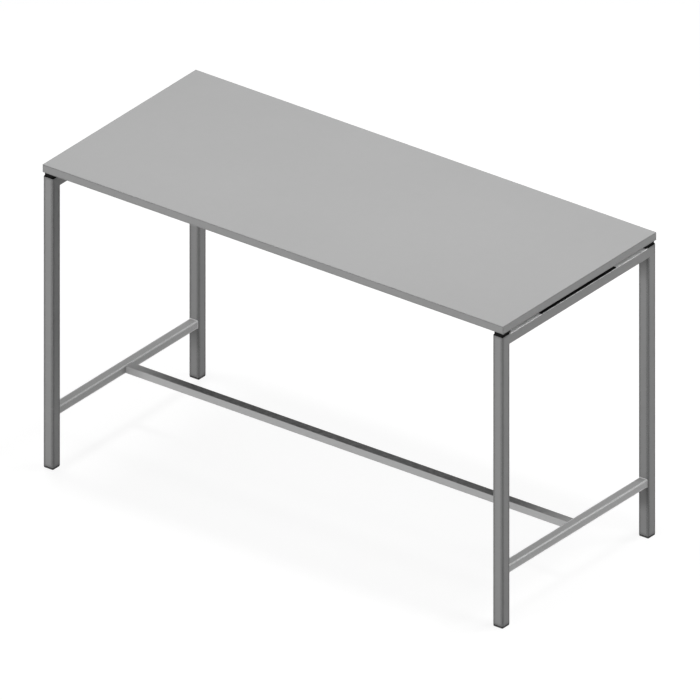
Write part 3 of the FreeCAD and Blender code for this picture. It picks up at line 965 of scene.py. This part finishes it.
@dataclass
class EndFrame(SubAssembly):
    """One welded end: two legs, the crossbar, the lower rail and the leg caps.

    Attributes:
        side: Which end it is.
        crossbar_radius: Outer corner radius of the crossbar.
        crossbar_bead: Leg length of the beads under the crossbar.
        rail_radius: Outer corner radius of the lower rail.
        rail_bead: Leg length of the beads round the lower rail.
    """

    side: Side
    crossbar_radius: float = 3.0 * MM
    crossbar_bead: float = 2.4 * MM
    rail_radius: float = 2.0 * MM
    rail_bead: float = 1.8 * MM

    def ground_welds(self, crossbar: str, row: Row) -> list[GroundWeld]:
        """The ground welds in the two upright grooves between a crossbar and a leg.

        Args:
            crossbar: Node name of the crossbar.
            row: The leg's row.

        Returns:
            One weld for each groove.
        """
        low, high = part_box(crossbar)
        end_y = (high if row is Row.BACK else low).y
        legward = Vector((0, row.value, 0))
        return [
            GroundWeld(Vector((face_x, end_y, low.z)), Vector((inward, 0, 0)), legward, high.z - low.z)
            for face_x, inward in ((low.x, 1.0), (high.x, -1.0))
        ]

    def build(self) -> None:
        """Dress this end and lay its welds."""
        workshop, finishes, name = self.workshop, self.finishes, self.side.name.lower()
        crossbar, rail = f"crossbar_{name}", f"footrest_rail_{name}"
        corners = {row: corner_name(row, self.side) for row in Row}
        workshop.dress([f"leg_{corner}" for corner in corners.values()], finishes.frame_paint)
        workshop.dress([crossbar], finishes.crossbar_paint)
        workshop.dress([rail], finishes.rail_paint)
        workshop.dress([f"leg_cap_{corner}" for corner in corners.values()], finishes.black_plastic)
        for row, corner in corners.items():
            bead = WeldBead.at_end(rail, row, self.rail_radius, Seam.AROUND, self.rail_bead)
            workshop.add_welds(f"weld_rail_{corner}", [bead], finishes.rail_paint, "footrest_paint")
            bead = WeldBead.at_end(crossbar, row, self.crossbar_radius, Seam.UNDER, self.crossbar_bead)
            workshop.add_welds(f"weld_crossbar_{corner}", [bead], finishes.weld_paint, "frame_paint")
            ground = self.ground_welds(crossbar, row)
            workshop.add_welds(f"ground_weld_{corner}", ground, finishes.weld_paint, "frame_paint")


@dataclass
class UnderTopBeams(SubAssembly):
    """The two beams with their end plates, the hook-on brackets and the bolts.

    Attributes:
        corner_radius: Outer corner radius of the beams.
        bead_size: Leg length of the beads between a beam's flanks and its end plates.
    """

    corner_radius: float = 3.0 * MM
    bead_size: float = 2.4 * MM

    def build(self) -> None:
        """Dress the beams, brackets and bolts, and weld each plate on its beam."""
        workshop, finishes = self.workshop, self.finishes
        workshop.dress([f"beam_bracket_{side.name.lower()}" for side in Side], finishes.black_paint)
        workshop.dress([f"beam_{row.name.lower()}" for row in Row], finishes.beam_paint)
        workshop.dress(["beam_bolts", "crossbar_rivet_nuts"], finishes.bright_zinc)
        for row in Row:
            for side in Side:
                beam, corner = f"beam_{row.name.lower()}", corner_name(row, side)
                workshop.dress([f"beam_plate_{corner}"], finishes.beam_paint)
                bead = WeldBead.at_end(beam, side, self.corner_radius, Seam.FLANKS, self.bead_size)
                workshop.add_welds(f"weld_beam_{corner}", [bead], finishes.beam_paint, "beam_paint")


class Footrest(SubAssembly):
    """The long rail, the spigots inside its ends and the screws that lock it."""

    def build(self) -> None:
        """Dress the rail, the spigots and the screws."""
        spigots = [f"footrest_spigot_{side.name.lower()}" for side in Side]
        self.workshop.dress(["footrest_long_rail"], self.finishes.long_rail_paint)
        self.workshop.dress(spigots, self.finishes.plain_steel)
        self.workshop.dress(["footrest_screws"], self.finishes.bright_zinc)


@dataclass
class LevellingGlide(SubAssembly):
    """One levelling glide: the insert in the leg, the pad, and the threaded stem between them.

    The stem is cut with a right-hand thread, has a chamfered spanner hex and ends below in a round disc.

    Attributes:
        corner: Name of the leg's corner.
        thread_pitch: Climb of the thread in one turn.
        thread_depth: Depth of its groove.
        rings_per_pitch: Rings for each pitch.
        points: Points of each ring.
        shank_radius: Outer radius of the thread.
        disc_radius: Radius of the disc.
        disc_height: Its height.
        disc_round: The chamfer of its rims.
        hex_across_flats: Size of the hex.
        hex_bottom: Height of its underside above the floor.
        hex_height: Its height.
        hex_chamfer: Height of the chamfers on its corners.
        tip_chamfer: The chamfer of the stem's tip.
        hex_rows: The row of faces that makes the hex's flats, counted from the disc's underside.
        crease: Edges that turn by more than this, in radians, stay sharp.
    """

    corner: str
    thread_pitch: float = 1.25 * MM
    thread_depth: float = 0.7 * MM
    rings_per_pitch: int = 8
    points: int = 24
    shank_radius: float = 3.95 * MM
    disc_radius: float = 8.0 * MM
    disc_height: float = 1.6 * MM
    disc_round: float = 0.3 * MM
    hex_across_flats: float = 13.0 * MM
    hex_bottom: float = 5.0 * MM
    hex_height: float = 4.5 * MM
    hex_chamfer: float = 0.7 * MM
    tip_chamfer: float = 1.0 * MM
    hex_rows: tuple[int, ...] = (7,)
    crease: float = math.radians(35)

    def hex_radius(self, at: int) -> float:
        """Radius of the hex at one of a ring's points."""
        from_flat = (FULL_TURN * at / self.points) % (FULL_TURN / 6) - FULL_TURN / 12
        return self.hex_across_flats / 2 / math.cos(from_flat)

    def thread_radius(self, at: int, height: float) -> float:
        """Radius of the thread, whose crest climbs as it turns to the left seen from above."""
        phase = (height / self.thread_pitch - at / self.points) % 1.0
        return self.shank_radius - self.thread_depth * abs(2 * phase - 1)

    def stem_rings(self, bottom: float, top: float) -> list[tuple[float, list[float]]]:
        """Every ring of the stem from the disc up to the tip.

        Args:
            bottom: Height of the disc's underside.
            top: Height of the tip.

        Returns:
            Height and the points' radii for each ring.
        """
        around = range(self.points)
        rim, neck = self.disc_radius - self.disc_round, self.shank_radius - self.thread_depth / 2
        flat_radius, corner_radius = self.hex_across_flats / 2, self.hex_across_flats / math.sqrt(3)
        disc_top, hex_top = bottom + self.disc_height, self.hex_bottom + self.hex_height
        disc = (
            (bottom, rim), (bottom + self.disc_round, self.disc_radius),
            (disc_top - self.disc_round, self.disc_radius), (disc_top, rim),
            (disc_top, neck), (self.hex_bottom, neck),
        )
        hexagon = (
            (self.hex_bottom, flat_radius), (self.hex_bottom + self.hex_chamfer, corner_radius),
            (hex_top - self.hex_chamfer, corner_radius), (hex_top, flat_radius), (hex_top, neck),
        )
        rings = [(height, [radius] * self.points) for height, radius in disc]
        rings += [(height, [min(self.hex_radius(at), limit) for at in around]) for height, limit in hexagon]
        step = self.thread_pitch / self.rings_per_pitch
        for number in range(1, int((top - hex_top) / step)):
            height = hex_top + number * step
            crest = self.shank_radius - max(0.0, self.tip_chamfer - (top - height))
            rings.append((height, [min(self.thread_radius(at, height), crest) for at in around]))
        rings.append((top, [self.shank_radius - self.tip_chamfer] * self.points))
        return rings

    def build(self) -> None:
        """Dress the insert and the pad, and put the cut stem in the plain one's place."""
        plain, name = f"glide_stem_{self.corner}", f"threaded_stem_{self.corner}"
        self.workshop.dress([f"glide_insert_{self.corner}"], self.finishes.black_plastic)
        self.workshop.dress([f"glide_pad_{self.corner}"], self.finishes.glide_plastic)
        self.workshop.dress([plain], self.finishes.bright_zinc)
        low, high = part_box(plain)
        axis = (low + high) / 2
        angles = [FULL_TURN * at / self.points for at in range(self.points)]
        rings = [
            [
                Vector((axis.x + radius * math.cos(angle), axis.y + radius * math.sin(angle), height))
                for angle, radius in zip(angles, radii)
            ]
            for height, radii in self.stem_rings(low.z, high.z)
        ]
        form = SkinnedForm()
        form.skin(rings, closed=False, flat_rows=self.hex_rows)
        mesh, body = form.mesh(name, self.crease), f"stem_{self.corner}"
        stem = self.workshop.add_piece(name, mesh, self.finishes.bright_zinc, body, "stem_steel")
        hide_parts(plain)


@dataclass(frozen=True)
class SoftLamp:
    """A rectangular lamp that hangs at a place and is aimed at a point.

    Attributes:
        name: Name of the lamp.
        place: Its middle.
        width: Its size across, level with the floor.
        height: Its size the other way.
        power: Its power in watts.
        aim: The point that it is turned to.
        mirrored: False keeps its image out of glossy surfaces, where a low view would see it as a glare.
    """

    name: str
    place: tuple[float, float, float]
    width: float
    height: float
    power: float
    aim: tuple[float, float, float]
    mirrored: bool = True

    def build(self) -> None:
        """Put the lamp into the scene."""
        data = bpy.data.lights.new(self.name, "AREA")
        data.shape = "RECTANGLE"
        data.size = self.width
        data.size_y = self.height
        data.energy = self.power
        lamp = add_object(self.name, data)
        lamp.location = self.place
        lamp.rotation_euler = (Vector(self.place) - Vector(self.aim)).to_track_quat("Z", "Y").to_euler()
        lamp.visible_glossy = self.mirrored


@dataclass
class Studio:
    """Plain white studio with a parallel-projection camera.

    Attributes:
        azimuth: Turn of the camera round the table, in degrees, from straight in front towards +X.
        elevation: Height of the camera above the horizon, in degrees.
        frame_pixels: Width of the picture.
        pixels_per_metre: Scale of the picture.
        anchor_pixel: Where the middle of the top's upper face appears, from the picture's top left corner.
        distance: From the camera to the middle of its view.
        ambient: Strength of the even light from all round.
        mirrored: Strength of the surroundings as glossy surfaces mirror them.
        floor_half: Half the width of the floor.
        floor_colour: Colour with which the floor throws light back.
        floor_seen_colour: Colour with which it is seen, on top of its glow.
        floor_glow: Glow that lifts the seen floor to white and leaves a light shadow.
        floor_roughness: Roughness of the floor.
        lamps: The lamps.
    """

    azimuth: float = 37.07
    elevation: float = 27.87
    frame_pixels: float = 700.0
    pixels_per_metre: float = 320.66
    anchor_pixel: tuple[float, float] = (349.45, 198.29)
    distance: float = 8.0
    ambient: float = 0.04
    mirrored: float = 0.35
    floor_half: float = 14.0
    floor_colour: Colour = grey(0.5)
    floor_seen_colour: Colour = grey(0.2)
    floor_glow: float = 0.89
    floor_roughness: float = 0.9
    lamps: tuple[SoftLamp, ...] = (
        SoftLamp("overhead_lamp", (0.0, 0.0, 5.0), 4.4, 0.6, 94.0, (0.0, 0.0, 0.0)),
        SoftLamp("left_end_lamp", (-1.5, 0.0, 4.5), 0.8, 0.6, 30.0, (-0.9, 0.0, 0.0)),
        SoftLamp("right_end_lamp", (1.5, 0.0, 4.5), 0.8, 0.6, 18.0, (0.9, 0.0, 0.0)),
        SoftLamp("front_lamp", (-1.0, -11.0, 2.0), 4.0, 3.0, 1040.0, (-1.0, 0.0, 13.0), mirrored=False),
        SoftLamp("right_low_lamp", (12.0, 0.8, 2.0), 3.0, 3.0, 200.0, (0.0, 0.8, 14.0), mirrored=False),
        SoftLamp("right_high_lamp", (6.0, 1.0, 4.6), 1.6, 1.2, 40.0, (0.9, 0.0, 1.0)),
        SoftLamp("rim_lamp", (4.2, 4.9, 4.9), 2.0, 1.6, 125.0, (0.6, 0.0, 0.8)),
        SoftLamp("back_lamp", (-9.0, 9.0, 1.1), 5.0, 1.8, 700.0, (0.0, 0.0, 1.1), mirrored=False),
    )

    def rays(self, sheet: NodeSheet, *kinds: str) -> Socket:
        """1 for rays of the named kinds, such as Is Camera Ray, and 0 for all others."""
        path = sheet.add("ShaderNodeLightPath")
        return sheet.greatest(*(path.outputs[kind] for kind in kinds))

    def build_world(self) -> None:
        """Even light all round, behind which the background looks white."""
        world = bpy.data.worlds.new("even_white")
        world.use_nodes = True
        sheet = NodeSheet(world.node_tree)
        lit = sheet.ramp(self.rays(sheet, "Is Glossy Ray"), 0.0, 1.0, self.ambient, self.mirrored)
        seen = self.rays(sheet, "Is Camera Ray", "Is Transmission Ray")
        background = world.node_tree.nodes["Background"].inputs
        sheet.feed(background["Color"], WHITE)
        sheet.feed(background["Strength"], sheet.greatest(lit, seen))
        bpy.context.scene.world = world

    def build_floor(self) -> None:
        """White floor that keeps a light shadow."""
        material, sheet = new_material("studio_floor")
        seen = self.rays(sheet, "Is Camera Ray", "Is Glossy Ray", "Is Transmission Ray")
        sheet.surface({
            "Base Color": sheet.mix(seen, self.floor_colour, self.floor_seen_colour),
            "Roughness": self.floor_roughness, "Specular IOR Level": 0.0,
            "Emission Color": WHITE, "Emission Strength": sheet.times(seen, self.floor_glow),
        })
        half = self.floor_half
        corners = [(-half, -half, 0), (half, -half, 0), (half, half, 0), (-half, half, 0)]
        mesh = bpy.data.meshes.new("studio_floor")
        mesh.from_pydata(corners, [], [range(len(corners))])
        mesh.materials.append(material)
        add_object("studio_floor", mesh)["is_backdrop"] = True

    def build_camera(self, top_height: float) -> None:
        """Camera at the studio's angle and scale.

        Args:
            top_height: Height of the top's upper face.
        """
        turn, tilt = math.radians(self.azimuth), math.radians(self.elevation)
        back = Vector((math.sin(turn) * math.cos(tilt), -math.cos(turn) * math.cos(tilt), math.sin(tilt)))
        right = Vector((math.cos(turn), math.sin(turn), 0.0))
        up = back.cross(right)
        across = (self.anchor_pixel[0] - self.frame_pixels / 2) / self.pixels_per_metre
        above = (self.frame_pixels / 2 - self.anchor_pixel[1]) / self.pixels_per_metre
        middle = Vector((0.0, 0.0, top_height)) - right * across - up * above
        data = bpy.data.cameras.new("studio_camera")
        data.type = "ORTHO"
        data.ortho_scale = self.frame_pixels / self.pixels_per_metre
        camera = add_object("studio_camera", data)
        camera.location = middle + back * self.distance
        camera.rotation_euler = back.to_track_quat("Z", "Y").to_euler()
        bpy.context.scene.camera = camera

    def build(self, top_height: float) -> None:
        """Set up the light, the floor and the camera.

        Args:
            top_height: Height of the top's upper face.
        """
        bpy.context.scene.view_settings.view_transform = "Standard"
        self.build_world()
        self.build_floor()
        for lamp in self.lamps:
            lamp.build()
        self.build_camera(top_height)


def main() -> None:
    """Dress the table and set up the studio."""
    logging.basicConfig(level=logging.INFO, format="%(name)s: %(message)s")
    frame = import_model()
    cad_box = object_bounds()
    workshop = Workshop(frame["nodes"])
    finishes = FinishSet()
    Tabletop(workshop, finishes).build()
    for side in Side:
        EndFrame(workshop, finishes, side).build()
    UnderTopBeams(workshop, finishes).build()
    Footrest(workshop, finishes).build()
    for row in Row:
        for side in Side:
            LevellingGlide(workshop, finishes, corner_name(row, side)).build()
    Studio().build(cad_box[1].z)


if __name__ == "__main__":
    main()
